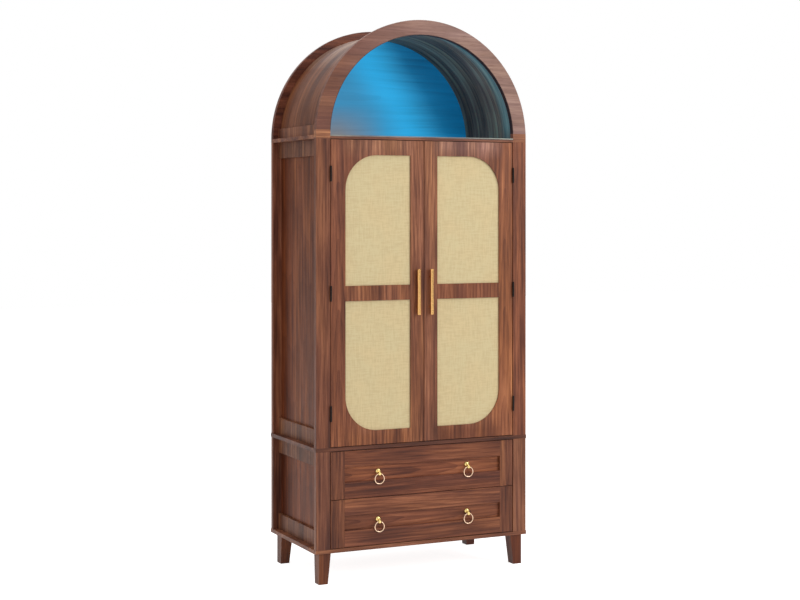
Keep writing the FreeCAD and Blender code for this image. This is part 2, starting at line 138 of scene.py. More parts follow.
def startGroup(name, kind, inputs, outputs):
    tree = bpy.data.node_groups.new(name, kind + "NodeTree")
    for label, socketKind, value in inputs:
        socket = tree.interface.new_socket(name=label, in_out="INPUT",
                                           socket_type="NodeSocket" + socketKind)
        if value is not None:
            socket.default_value = value
    for label, socketKind in outputs:
        tree.interface.new_socket(name=label, in_out="OUTPUT", socket_type="NodeSocket" + socketKind)
    return tree, tree.nodes.new("NodeGroupInput").outputs, tree.nodes.new("NodeGroupOutput").inputs


def placeGroup(tree, group, **values):
    return addNode(tree, "ShaderNodeGroup", {"node_tree": group}, **values).outputs


# The camera stands at the photograph's eye point, level, with the picture shifted down

camera = {
    "eye": (-2.2470, -4.7594, 1.1719),
    "turn": 25.307,  # degrees to the right of straight on
    "lens": 71.27,
    "sensorWidth": 36.0,
    "shiftDown": 0.1127,
    "clipEnd": 60.0,
}


def buildCamera(values):
    data = bpy.data.cameras.new("camera")
    data.lens = values["lens"]
    data.sensor_width = values["sensorWidth"]
    data.shift_y = -values["shiftDown"]
    data.clip_end = values["clipEnd"]
    eye = addObject("camera", data)
    eye.location = values["eye"]
    eye.rotation_euler = (math.pi / 2, 0.0, -math.radians(values["turn"]))
    bpy.context.scene.camera = eye


buildCamera(camera)


# Studio: a white room, a large soft lamp at the right, weaker ones above and at the left.
# Gloss also sees a bright ceiling, the wall behind the cabinet and a reflector at the left.

studio = {
    "roomLight": 0.50,  # what the room gives to matt surfaces
    "glossRoom": 0.22,  # what gloss sees of the room
    "reflector": 1.00,
    "reflectorWay": (-0.72, -0.69, 0.0),
    "reflectorSpan": (0.75, 0.97),  # cosine to that way, at the rim and at full light
    "ceiling": 1.10,
    "ceilingSpan": (0.14, 0.42),  # Z of the way looked in, likewise
    "backdrop": 0.50,
    "backdropSpan": (0.10, 0.60),  # Y of the way looked in
    "floorHalf": 14.0,
    "floorColor": (0.80, 0.80, 0.80, 1),
    "floorGlow": 0.86,  # makes the floor white for the camera, and keeps its shadow
    "lamps": {
        "keyLamp": {"place": (3.4, -4.6, 3.0), "aim": (0.0, 0.0, 1.1), "size": 2.6, "power": 150.0},
        "topLamp": {"place": (-0.6, -0.6, 4.6), "aim": (0.0, 0.0, 1.2), "size": 2.4, "power": 55.0},
        "leftLamp": {"place": (-4.6, -2.2, 2.4), "aim": (0.0, 0.0, 1.0), "size": 2.4, "power": 20.0},
    },
}
white, black = (1, 1, 1, 1), (0, 0, 0, 1)


def seenDirectly(tree):
    path = tree.nodes.new("ShaderNodeLightPath").outputs
    seen = calc(tree, "MAXIMUM", path["Is Camera Ray"], path["Is Glossy Ray"])
    return calc(tree, "MAXIMUM", seen, path["Is Transmission Ray"])


def glossAround(tree, values):
    way = tree.nodes.new("ShaderNodeTexCoord").outputs["Generated"]
    towards = addNode(tree, "ShaderNodeVectorMath", {"operation": "DOT_PRODUCT"})
    feedInOrder(tree, towards, way, values["reflectorWay"])
    gloss = remap(tree, towards.outputs["Value"], *values["reflectorSpan"], values["glossRoom"],
                  values["reflector"])
    parts = split(tree, way)
    for name, axis in (("ceiling", "Z"), ("backdrop", "Y")):
        light = remap(tree, parts[axis], *values[name + "Span"], 0.0, values[name])
        gloss = calc(tree, "MAXIMUM", gloss, light)
    return gloss


def buildStudio(values):
    world = bpy.data.worlds.new("room")
    bpy.context.scene.world = world
    world.use_nodes = True
    tree = world.node_tree
    tree.nodes.clear()
    path = tree.nodes.new("ShaderNodeLightPath").outputs
    shown = calc(tree, "MAXIMUM", path["Is Camera Ray"], path["Is Transmission Ray"])
    shown = calc(tree, "MAXIMUM", shown, glossAround(tree, values))
    plain = addNode(tree, "ShaderNodeBackground", Color=white, Strength=values["roomLight"])
    bright = addNode(tree, "ShaderNodeBackground", Color=white, Strength=shown)
    mixed = feedInOrder(tree, addNode(tree, "ShaderNodeMixShader"), seenDirectly(tree),
                        plain.outputs[0], bright.outputs[0])
    addNode(tree, "ShaderNodeOutputWorld", Surface=mixed.outputs[0])

    half = values["floorHalf"]
    mesh = bpy.data.meshes.new("floor")
    mesh.from_pydata([(-half, -half, 0), (half, -half, 0), (half, half, 0), (-half, half, 0)], [],
                     [(0, 1, 2, 3)])
    floor = addObject("floor", mesh)
    material = bpy.data.materials.new("studioFloor")
    material.use_nodes = True
    tree = material.node_tree
    tree.nodes.clear()
    matt = addNode(tree, "ShaderNodeBsdfDiffuse", Color=values["floorColor"])
    glow = addNode(tree, "ShaderNodeEmission", Color=white,
                   Strength=calc(tree, "MULTIPLY", seenDirectly(tree), values["floorGlow"]))
    both = feedInOrder(tree, addNode(tree, "ShaderNodeAddShader"), matt.outputs[0],
                       glow.outputs[0])
    addNode(tree, "ShaderNodeOutputMaterial", Surface=both.outputs[0])
    mesh.materials.append(material)

    for name, lamp in values["lamps"].items():
        data = bpy.data.lights.new(name, "AREA")
        data.energy = lamp["power"]
        data.size = lamp["size"]
        light = addObject(name, data)
        light.location = lamp["place"]
        way = Vector(lamp["aim"]) - Vector(lamp["place"])
        light.rotation_euler = way.to_track_quat("-Z", "Y").to_euler()
    bpy.context.scene.view_settings.view_transform = "Standard"


buildStudio(studio)
print("camera and studio are set")


# The grain of the veneer, shared by all the wooden pieces. A stretch is a scale along each axis.

veneer = {
    "shiftWay": (0.37, 0.11, 1.9),
    "slowStretch": (4.0, 4.0, 1.0),  # the streaks wander, slowly and in fine waves
    "slowReach": 0.016,
    "fineStretch": (30.0, 30.0, 7.0),
    "fineReach": 0.0024,
    "alongShare": 0.038,  # how fast a streak changes along the board, against across
    "broadScale": 0.55,
    "mediumScale": 2.4,
    "hairStretch": (8.0, 8.0, 4.0),
    "patchStretch": (15.0, 15.0, 4.6),
    "shares": (0.26, 0.34, 0.16, 0.24),  # of broad, medium, hair and patch in the tone
    "gain": 5.0,
    "arch": {"wander": 1.8, "round": 0.0003, "rise": 0.055, "patch": 0.018},
    "ringPower": 2.6,
    "ringWhere": (0.35, 0.60, 0.35, 1.0),  # broad streaks from and to, and the rings' strength there
    "ringDepth": -0.65,
    "hueStretch": (16.0, 16.0, 2.2),
    "hueSpan": (0.36, 0.64),
    "hues": ((1.03, 1.02, 0.93, 1), (0.98, 0.96, 1.04, 1)),
    "poreStretch": (30.0, 30.0, 26.0),
    "poreSpan": (0.58, 0.72),
    "poreDepth": 0.40,
    "poreTint": (0.42, 0.32, 0.28, 1),
    "roughness": 0.36,
    "hairRoughness": 0.18,
    "poreRoughness": 0.12,
    "height": 0.6,
    "hairHeight": 0.4,
}


def makeWalnutGrain(values):
    tree, given, made = startGroup("walnutGrain", "Shader", [
        ("Vector", "Vector", None),  # X across the board, Y through it, Z along the grain
        ("Shift", "Float", 0.0),  # another part of the tree
        ("Tint", "Color", white),
        ("Streak Width", "Float", 0.018),
        ("Contrast", "Float", 1.0),
        ("Figure", "Float", 0.3),  # how much the growth rings show
        ("Ring Spacing", "Float", 0.012),
        ("Heart", "Float", 0.0),  # where the rings arch, across the board
        ("Dark", "Color", (0.05, 0.016, 0.008, 1)),
        ("Middle", "Color", (0.17, 0.06, 0.028, 1)),
        ("Light", "Color", (0.30, 0.13, 0.065, 1)),
    ], [("Color", "Color"), ("Roughness", "Float"), ("Height", "Float"), ("Tone", "Float")])
    shift = joined(tree, given["Shift"], given["Shift"], given["Shift"])
    moved = calcVector(tree, "MULTIPLY_ADD", shift, values["shiftWay"], given["Vector"])

    slow = centred(tree, stretchedNoise(tree, moved, values["slowStretch"]), values["slowReach"])
    fine = centred(tree, stretchedNoise(tree, moved, values["fineStretch"]), values["fineReach"])
    wander = calc(tree, "ADD", slow, fine)
    swayed = calcVector(tree, "ADD", moved, joined(tree, wander, wander, 0.0))

    across = calc(tree, "DIVIDE", 1.0, given["Streak Width"])
    along = calc(tree, "MULTIPLY", across, values["alongShare"])
    streaks = calcVector(tree, "MULTIPLY", swayed, joined(tree, across, across, along))
    broad = noise(tree, streaks, values["broadScale"], 2.0)
    medium = noise(tree, streaks, values["mediumScale"], 3.0, 0.55)
    hair = stretchedNoise(tree, streaks, values["hairStretch"], 2.0, 0.6)
    patch = stretchedNoise(tree, moved, values["patchStretch"], 3.0)
    tone = -0.5
    for layer, share in zip((broad, medium, hair, patch), values["shares"]):
        tone = calc(tree, "MULTIPLY_ADD", layer, share, tone)
    tone = calc(tree, "MULTIPLY", tone, given["Contrast"])
    tone = calc(tree, "MULTIPLY_ADD", tone, values["gain"], 0.5)

    # Growth rings, cut at a slant, draw arches along the board
    arch = values["arch"]
    place = split(tree, given["Vector"])
    offCentre = calc(tree, "SUBTRACT", calc(tree, "MULTIPLY_ADD", wander, arch["wander"], place["X"]),
                     given["Heart"])
    radius = calc(tree, "SQRT", calc(tree, "MULTIPLY_ADD", offCentre, offCentre, arch["round"]))
    radius = calc(tree, "MULTIPLY_ADD", place["Z"], arch["rise"], radius)
    radius = calc(tree, "MULTIPLY_ADD", patch, arch["patch"], radius)
    ring = calc(tree, "FRACT", calc(tree, "DIVIDE", radius, given["Ring Spacing"]))
    ring = calc(tree, "POWER", ring, values["ringPower"])
    weight = remap(tree, broad, *values["ringWhere"])
    ring = calc(tree, "MULTIPLY", ring, calc(tree, "MULTIPLY", given["Figure"], weight))
    tone = calc(tree, "MULTIPLY_ADD", ring, values["ringDepth"], tone)

    # Dark to middle over the lower half of the tone, middle to light over the upper
    color = blendColor(tree, calc(tree, "MULTIPLY", tone, 2.0, clamp=True), given["Dark"],
                       given["Middle"])
    color = blendColor(tree, calc(tree, "MULTIPLY_ADD", tone, 2.0, -1.0, clamp=True), color,
                       given["Light"])
    hue = stretchedNoise(tree, moved, values["hueStretch"])
    hueTint = blendColor(tree, remap(tree, hue, *values["hueSpan"]), *values["hues"])
    color = blendColor(tree, 1.0, color, hueTint, "MULTIPLY")

    pores = stretchedNoise(tree, streaks, values["poreStretch"], 1.0)
    pores = remap(tree, pores, *values["poreSpan"])
    color = blendColor(tree, calc(tree, "MULTIPLY", pores, values["poreDepth"]), color,
                       values["poreTint"], "MULTIPLY")
    plug(tree, made["Color"], blendColor(tree, 1.0, color, given["Tint"], "MULTIPLY"))
    rough = calc(tree, "MULTIPLY_ADD", hair, values["hairRoughness"], values["roughness"])
    rough = calc(tree, "MULTIPLY_ADD", pores, values["poreRoughness"], rough)
    plug(tree, made["Roughness"], rough)
    height = calc(tree, "MULTIPLY_ADD", hair, values["hairHeight"], values["height"])
    plug(tree, made["Height"], calc(tree, "SUBTRACT", height, pores))
    plug(tree, made["Tone"], tone)
    return tree


grainGroup = makeWalnutGrain(veneer)
print("the grain group is built")


# Walnut laminate

walnut = {
    "dark": (0.082, 0.025, 0.014),
    "middle": (0.205, 0.073, 0.037),
    "light": (0.385, 0.158, 0.080),
    "bump": 0.00012,
    "gloss": 0.24,
}
archHeight = 1.407  # of the arch's centre
bentRadius = 0.345  # where grain bent round the arch keeps its length


def startMaterial(name, **constants):
    material = bpy.data.materials.new(name)
    material.use_nodes = True
    tree = material.node_tree
    return material, tree, feed(tree, tree.nodes["Principled BSDF"], **constants)


def addBump(tree, shader, height, distance):
    bump = addNode(tree, "ShaderNodeBump", Strength=1.0, Distance=distance, Height=height)
    feed(tree, shader, Normal=bump.outputs[0])


def wear(tree, shader, surface, bump):
    feed(tree, shader, Base_Color=surface["Color"], Roughness=surface["Roughness"])
    addBump(tree, shader, surface["Height"], bump)


def objectPlace(tree):
    return tree.nodes.new("ShaderNodeTexCoord").outputs["Object"]


# The place unrolled from the arch, and its distance from the arch's centre
def archPlace(tree, parts):
    rise = calc(tree, "SUBTRACT", parts["Z"], archHeight)
    turn = calc(tree, "ARCTAN2", rise, parts["X"])
    radius = calc(tree, "SQRT", calc(tree, "MULTIPLY_ADD", rise, rise,
                                     calc(tree, "MULTIPLY", parts["X"], parts["X"])))
    return joined(tree, parts["Y"], radius, calc(tree, "MULTIPLY", turn, bentRadius)), radius


def insideSpan(tree, value, low, high, soft):
    away = calc(tree, "ABSOLUTE", calc(tree, "SUBTRACT", value, (low + high) / 2))
    half = (high - low) / 2
    return remap(tree, away, half + soft, half - soft)


def asTint(tone):
    return (*tone, 1) if isinstance(tone, tuple) else (tone, tone, tone, 1)


boardJoint = 0.0004  # half the width over which one board turns to the next


# A board is a stretch of a piece, by x, y, z or arch radius, with its own veneer and tone
def layWalnut(tree, direction, shift, tone=1.0, boards=(), contrast=1.0, streak=0.020, figure=0.2,
              heart=0.0, spacing=0.012, palette=walnut):
    place = objectPlace(tree)
    parts = split(tree, place)
    turned = {"up": place, "across": joined(tree, parts["Z"], parts["Y"], parts["X"])}
    bent, radius = archPlace(tree, parts)
    vector = turned.get(direction, bent)
    axes = {"x": parts["X"], "y": parts["Y"], "z": parts["Z"], "radius": radius}
    tint = asTint(tone)
    for board in boards:
        mask = 1.0
        for axis, value in axes.items():
            if axis in board:
                span = insideSpan(tree, value, *board[axis], board.get("soft", boardJoint))
                mask = calc(tree, "MULTIPLY", span, mask)
        shift = calc(tree, "MULTIPLY_ADD", mask, board.get("shift", 0.0), shift)
        tint = blendColor(tree, mask, tint, asTint(board["tone"]))
        if "grain" in board:
            vector = blend(tree, "VECTOR", mask, vector, turned[board["grain"]])
    colors = {key.capitalize(): (*palette[key], 1) for key in ("dark", "middle", "light")}
    return placeGroup(tree, grainGroup, Vector=vector, Shift=shift, Tint=tint, Figure=figure,
                      Heart=heart, Contrast=contrast, Streak_Width=streak, Ring_Spacing=spacing,
                      **colors)


def makeWalnut(name, gloss=walnut["gloss"], **values):
    material, tree, shader = startMaterial(name, Specular_IOR_Level=gloss)
    wear(tree, shader, layWalnut(tree, **values), walnut["bump"])
    return material


doorEdge, stileIn, stileOut, overrun = 0.325, 0.048, 0.275, 0.02  # X, from the middle
topRail, midRail, bottomRail = (1.352, 1.44), (0.884, 0.934), (0.40, 0.474)  # Z
leftRail, rightRail = (-stileOut, -stileIn), (stileIn, stileOut)
leftDoorBoards = [
    {"x": (-doorEdge - overrun, -0.240), "soft": 0.020, "tone": (1.04, 0.93, 0.85)},
    {"x": (-0.060, overrun), "soft": 0.012, "tone": (1.09, 1.06, 0.96)},
    {"x": leftRail, "z": topRail, "soft": 0.020, "tone": (1.36, 1.52, 1.50)},
    {"x": leftRail, "z": bottomRail, "soft": 0.020, "tone": (1.09, 1.01, 0.82)},
    {"x": leftRail, "z": midRail, "tone": (1.08, 1.03, 0.93)},
]
rightDoorBoards = [
    {"x": (0.240, doorEdge + overrun), "soft": 0.020, "tone": (1.39, 1.30, 1.02)},
    {"x": (-overrun, 0.060), "soft": 0.012, "tone": (1.16, 1.17, 1.13)},
    {"x": rightRail, "z": topRail, "soft": 0.020, "tone": (1.82, 2.38, 3.15)},
    {"x": rightRail, "z": bottomRail, "soft": 0.020, "tone": (0.84, 0.72, 0.60)},
    {"x": rightRail, "z": midRail, "tone": (0.97, 0.86, 0.79)},
]
drawerStile = 0.278
drawerBoards = [
    {"x": (-doorEdge - overrun, -drawerStile), "shift": 2.7, "tone": (0.84, 0.78, 0.70),
     "grain": "up"},
    {"x": (drawerStile, doorEdge + overrun), "shift": 5.2, "tone": (0.86, 0.80, 0.72),
     "grain": "up"},
]
# painted shade on the left side panels, towards the rear posts
sideShade = [{"y": (0.105, 0.30), "soft": 0.030, "tone": (0.49, 0.32, 0.22)}]
rightHalf = (0.0, 0.4)

uprightPieces = {
    "upper_front_posts": {
        "shift": 1.3, "tone": (0.72, 0.64, 0.62), "boards": [
            {"x": rightHalf, "tone": (1.19, 1.05, 0.91)},
            {"z": (1.397, 1.45), "soft": 0.002, "shift": 20.4, "tone": (1.40, 1.50, 1.30),
             "grain": "across"}]},
    "upper_rear_posts": {"shift": 2.9, "tone": (0.98, 0.91, 0.93)},
    "lower_posts": {"shift": 4.1, "tone": 0.90},
    "upper_right_side_panel": {"shift": 5.7, "streak": 0.030, "tone": 0.95},
    "upper_left_side_panel": {
        "shift": 6.2, "streak": 0.030, "tone": (0.89, 0.74, 0.58), "gloss": 0.14,
        "boards": sideShade},
    "lower_right_side_panel": {"shift": 7.4, "streak": 0.030, "tone": 0.95},
    "lower_left_side_panel": {
        "shift": 8.3, "streak": 0.030, "tone": (0.76, 0.56, 0.40), "gloss": 0.14,
        "boards": sideShade},
    "right_side_rails": {"shift": 9.1, "tone": 0.90},
    "left_side_rails": {"shift": 9.8, "tone": (0.83, 0.90, 0.94), "gloss": 0.14},
    "right_door_frame": {
        "shift": 11.2, "tone": 1.15, "boards": rightDoorBoards, "contrast": 0.8, "figure": 0.45,
        "heart": 0.30},
    "left_door_frame": {
        "shift": 12.6, "tone": 1.15, "boards": leftDoorBoards, "figure": 0.45, "heart": -0.30},
    "legs": {
        "shift": 20.3, "tone": (0.59, 0.45, 0.31), "boards": [
            {"x": rightHalf, "tone": (0.40, 0.24, 0.15)}]},
    "arch_foot_blocks": {"shift": 24.6, "tone": (0.95, 0.93, 0.86)},
    "upper_back_panel": {"shift": 26.1, "streak": 0.030},
    "lower_back_panel": {"shift": 27.3, "streak": 0.030},
    "right_door_backer": {"shift": 28.2},
    "left_door_backer": {"shift": 29.5},
}
levelPieces = {
    "base_board": {"shift": 13.1},
    "mid_board": {"shift": 14.2, "tone": (0.57, 0.52, 0.52)},
    "top_board": {
        "shift": 15.5, "boards": [
            # painted highlight along the top of the board's front edge
            {"y": (-0.20, -0.186), "z": (1.4035, 1.42), "soft": 0.0015, "tone": (1.82, 5.5, 9.7)}]},
    "lower_drawer_front_strips": {
        "shift": 16.3, "tone": (0.95, 0.86, 0.80), "boards": drawerBoards, "figure": 0.4,
        "heart": 0.186},
    "upper_drawer_front_strips": {
        "shift": 17.9, "tone": (0.73, 0.60, 0.56), "boards": drawerBoards, "figure": 0.4,
        "heart": 0.338},
    "lower_drawer_front_panel": {
        "shift": 18.4, "figure": 0.6, "contrast": 0.85, "tone": (1.08, 0.97, 0.84),
        "heart": 0.186},
    "upper_drawer_front_panel": {
        "shift": 19.6, "figure": 0.6, "contrast": 0.85, "tone": (1.03, 0.86, 0.71),
        "heart": 0.338},
    "arch_front_ring": {
        "shift": 21.7, "tone": (0.90, 0.95, 1.11), "contrast": 0.5, "streak": 0.032, "boards": [
            # painted reflection: the crown and the right of the ring are paler
            {"x": (-0.10, 0.60), "soft": 0.20, "tone": (1.36, 2.15, 3.45)},
            # painted shade on the ring's inner edge
            {"radius": (0.30, 0.3284), "tone": 0.22}]},
    "arch_rear_ring": {"shift": 22.5, "tone": (0.61, 0.48, 0.50)},
    "lower_shelf": {"shift": 30.7},
    "upper_shelf": {"shift": 31.8},
}


def dress(node, material):
    nodes[node].material_slots[0].material = material


for direction, pieces in (("up", uprightPieces), ("across", levelPieces)):
    for piece, values in pieces.items():
        dress(piece, makeWalnut(piece + "Walnut", direction=direction, **values))
print("walnut is laid on", len(uprightPieces) + len(levelPieces), "pieces")


# The niche: blue light is painted on the back board as glow, in a slanting band, and the bent shell
# is dark inside, with painted blue glow on it too

niche = {
    "bandFoot": (0.122, 1.450),  # X and Z of two points of the brightest line
    "bandHead": (-0.022, 1.655),
    "leftWidth": 0.095,
    "rightWidth": 0.118,
    "swayStretch": (2.0, 1.0, 6.0),
    "swayReach": 0.08,
    # colours of the painted blue light on the back board
    "bright": (0.022, 0.362, 0.700, 1),
    "left": (0.032, 0.225, 0.420, 1),
    "right": (0.000, 0.087, 0.217, 1),
    "turnOver": (-0.02, 0.16),  # from the line: where the left colour becomes the right
    "grey": (0.200, 0.165, 0.145, 1),  # low at the left
    "greyX": (0.04, -0.14),
    "greyZ": (1.53, 1.41),
    "grain": {"direction": "across", "shift": 25.4, "contrast": 0.8, "streak": 0.034, "figure": 0.7,
              "heart": 1.56, "spacing": 0.026},
    "toneSpan": (0.0, 0.8),
    "darkGlow": (0.0, 0.15, 0.92, 0.74),  # of dark grain, by the distance from the line
    "paleGlow": 1.06,
    "topGlow": (1.64, 1.76, 1.0, 0.88),  # by height
    # the lit face's own colour, tinted dark blue: painted light
    "board": (0.020, 0.045, 0.070, 1),
    "frontUntil": 0.183,  # Y inside the board, between its face and its back
}


# Painted light: the back board glows blue in a slanting band, over a blue-tinted face colour
def makeNicheBoard(values):
    material, tree, shader = startMaterial("nicheBoardLit", Emission_Strength=1.0,
                                           Specular_IOR_Level=0.15, Roughness=0.5)
    place = objectPlace(tree)
    parts = split(tree, place)
    footX, footZ = values["bandFoot"]
    headX, headZ = values["bandHead"]
    lean = (headX - footX) / (headZ - footZ)
    line = calc(tree, "MULTIPLY_ADD", parts["Z"], lean, footX - lean * footZ)
    sway = centred(tree, stretchedNoise(tree, place, values["swayStretch"]), values["swayReach"])
    off = calc(tree, "ADD", calc(tree, "SUBTRACT", parts["X"], line), sway)
    isRight = calc(tree, "GREATER_THAN", off, 0.0)
    width = blend(tree, "FLOAT", isRight, values["leftWidth"], values["rightWidth"])
    share = calc(tree, "DIVIDE", off, width)
    squared = calc(tree, "MULTIPLY", share, share)
    bell = calc(tree, "EXPONENT", calc(tree, "MULTIPLY", squared, -1.0))
    color = blendColor(tree, remap(tree, off, *values["turnOver"]), values["left"], values["right"])
    lowLeft = calc(tree, "MULTIPLY", remap(tree, parts["Z"], *values["greyZ"]),
                   remap(tree, parts["X"], *values["greyX"]))
    color = blendColor(tree, lowLeft, color, values["grey"])
    color = blendColor(tree, bell, color, values["bright"])
    grain = layWalnut(tree, **values["grain"])
    darkGlow = remap(tree, off, *values["darkGlow"])
    shade = remap(tree, grain["Tone"], *values["toneSpan"], darkGlow, values["paleGlow"])
    shade = calc(tree, "MULTIPLY", shade, remap(tree, parts["Z"], *values["topGlow"]))
    isFront = calc(tree, "LESS_THAN", parts["Y"], values["frontUntil"])
    glow = calc(tree, "MULTIPLY", shade, isFront)
    feed(tree, shader, Base_Color=blendColor(tree, isFront, grain["Color"], values["board"]),
         Emission_Color=calcVector(tree, "MULTIPLY", color, joined(tree, glow, glow, glow)))
    addBump(tree, shader, grain["Height"], walnut["bump"])
    return material


shell = {
    "radius": 0.3475,  # between its inside and its outside
    "outside": {"direction": "round", "shift": 23.2, "tone": (0.65, 0.60, 0.53), "streak": 0.030,
                # the paler top of the shell is a painted reflection
                "boards": [{"z": (1.69, 2.2), "soft": 0.06, "tone": (1.90, 3.70, 5.60)}]},
    "inside": {"direction": "round", "shift": 24.1, "streak": 0.030, "contrast": 1.2,
               "palette": {"dark": (0.075, 0.028, 0.018), "middle": (0.185, 0.070, 0.044),
                           "light": (0.280, 0.145, 0.090)},
               "boards": [{"z": (1.2, 1.60), "soft": 0.10, "y": (-0.3, 0.02),
                           "tone": (1.10, 1.15, 1.10)}]},
    "glow": (0.07, 0.57, 1.00),  # painted blue light: the glow it makes of the wood's colour
    "glowForward": (0.14, -0.14, 0.30, 0.80),
    "glowUp": (1.58, 1.74, 0.0, 0.45),
    "stripLight": (0.0, 0.055, 0.075),  # painted light beside the light strip, behind the front ring
    "stripForward": (-0.080, -0.112),
    "stripUp": (1.405, 1.45, 0.3, 1.0),
}


def makeShell(values):
    material, tree, shader = startMaterial("shellWalnut", Specular_IOR_Level=0.20,
                                           Emission_Strength=1.0)
    parts = split(tree, objectPlace(tree))
    outside = layWalnut(tree, **values["outside"])
    inside = layWalnut(tree, **values["inside"])
    isOutside = calc(tree, "GREATER_THAN", archPlace(tree, parts)[1], values["radius"])
    # Painted blue light on the inside: a glow that grows towards the front and the top, and is
    # strongest beside the light strip
    lit = calc(tree, "ADD", remap(tree, parts["Y"], *values["glowForward"]),
               remap(tree, parts["Z"], *values["glowUp"]))
    glow = calcVector(tree, "MULTIPLY", inside["Color"], values["glow"])
    glow = calcVector(tree, "MULTIPLY", glow, joined(tree, lit, lit, lit))
    near = calc(tree, "MULTIPLY", remap(tree, parts["Y"], *values["stripForward"]),
                remap(tree, parts["Z"], *values["stripUp"]))
    glow = calcVector(tree, "MULTIPLY_ADD", joined(tree, near, near, near), values["stripLight"],
                      glow)
    feed(tree, shader, Base_Color=blendColor(tree, isOutside, inside["Color"], outside["Color"]),
         Emission_Color=blendColor(tree, isOutside, glow, black), Roughness=outside["Roughness"])
    addBump(tree, shader, outside["Height"], walnut["bump"])
    return material


dress("niche_back_panel", makeNicheBoard(niche))
dress("arch_shell", makeShell(shell))
print("the niche is lit")


# Woven cloth of the door panels: a stretched sheet on each door, seen through the frame's lights

woven = {
    "step": 0.004,  # of the sheet's mesh
    "relief": 0.00015,  # how far the sheet dips between its high spots
    "waveScale": 45.0,
    "waveShare": 0.25,
    "yarnScales": (260.0, 9.0),  # across a yarn and along it
    "yarnShare": 0.12,
    "crossYarnSeed": 7.0,
    "sharpAngle": 40.0,
    "pitch": 0.0021,  # of the threads
    "swayScale": 30.0,
    "swayReach": 0.0016,
    "dip": 0.35,  # how much lower a thread is where it passes under
    "dashStretches": ((250.0, 1.0, 28.0), (28.0, 1.0, 250.0)),
    "patchStretch": (11.0, 1.0, 9.0),
    "patchSpan": (0.40, 0.60),
    "slubShade": (0.40, 0.56, 0.62, 0.0),
    "gapShade": (0.15, 0.55, 0.35, 0.0),
    "slubHeight": 1.5,
    "color": (0.735, 0.590, 0.335, 1),
    "green": (0.715, 0.598, 0.348, 1),
    "shade": (0.620, 0.480, 0.262, 1),
    "bump": 0.00030,
}


def makeWeave(values):
    tree, given, made = startGroup("plainWeave", "Shader", [
        ("Vector", "Vector", None), ("Pitch", "Float", 0.002),
    ], [("Height", "Float"), ("Slubs", "Float")])
    parts = split(tree, given["Vector"])
    sway = centred(tree, noise(tree, given["Vector"], values["swayScale"]), values["swayReach"])
    across = calc(tree, "DIVIDE", calc(tree, "ADD", parts["X"], sway), given["Pitch"])
    up = calc(tree, "DIVIDE", calc(tree, "ADD", parts["Z"], sway), given["Pitch"])
    threads = []
    for one, other, half in ((across, up, 0.0), (up, across, 1.0)):
        thread = calc(tree, "ABSOLUTE", calc(tree, "SINE", calc(tree, "MULTIPLY", one, math.pi)))
        phase = calc(tree, "ADD", calc(tree, "ADD", other, calc(tree, "FLOOR", one)), half)
        over = calc(tree, "SINE", calc(tree, "MULTIPLY", phase, math.pi))
        over = calc(tree, "MULTIPLY_ADD", over, values["dip"], 1.0 - values["dip"])
        threads.append(calc(tree, "MULTIPLY", thread, over))
    plug(tree, made["Height"], calc(tree, "MAXIMUM", *threads))

    # Thick and thin yarns: short dashes along both directions
    dashes = [calc(tree, "MULTIPLY", stretchedNoise(tree, given["Vector"], stretch, 2.0, 0.6), 0.5)
              for stretch in values["dashStretches"]]
    plug(tree, made["Slubs"], calc(tree, "ADD", *dashes))
    return tree


weaveGroup = makeWeave(woven)


def makeWoven(name, shift, values):
    material, tree, shader = startMaterial(name, Roughness=0.92, Specular_IOR_Level=0.15,
                                           Sheen_Weight=0.06, Sheen_Roughness=0.5)
    place = objectPlace(tree)
    weave = placeGroup(tree, weaveGroup, Vector=place, Pitch=values["pitch"])
    moved = calcVector(tree, "ADD", place, (shift, 0.0, shift))
    patches = remap(tree, stretchedNoise(tree, moved, values["patchStretch"], 3.0),
                    *values["patchSpan"])
    color = blendColor(tree, patches, values["color"], values["green"])
    for height, span in ((weave["Slubs"], "slubShade"), (weave["Height"], "gapShade")):
        color = blendColor(tree, remap(tree, height, *values[span]), color, values["shade"])
    feed(tree, shader, Base_Color=color)
    height = calc(tree, "MULTIPLY_ADD", weave["Slubs"], values["slubHeight"], weave["Height"])
    addBump(tree, shader, height, values["bump"])
    return material


# Two layers of points, each a grid, closed into one skin by a rim
def makeClosedGrid(columns, rows, frontAt, backAt):
    mesh = bmesh.new()
    front, back = [[[mesh.verts.new(at(x, z)) for x in columns] for z in rows]
                   for at in (frontAt, backAt)]
    for j in range(len(rows) - 1):
        for i in range(len(columns) - 1):
            mesh.faces.new((front[j][i], front[j][i + 1], front[j + 1][i + 1], front[j + 1][i]))
            mesh.faces.new((back[j][i], back[j + 1][i], back[j + 1][i + 1], back[j][i + 1]))
    lastRow, lastColumn = len(rows) - 1, len(columns) - 1
    rims = [[(0, i) for i in range(len(columns))],
            [(j, lastColumn) for j in range(len(rows))],
            [(lastRow, i) for i in reversed(range(len(columns)))],
            [(j, 0) for j in reversed(range(len(rows)))]]
    for rim in rims:
        for (j, i), (l, k) in zip(rim, rim[1:]):
            mesh.faces.new((front[j][i], back[j][i], back[l][k], front[l][k]))
    bmesh.ops.recalc_face_normals(mesh, faces=mesh.faces)
    return mesh


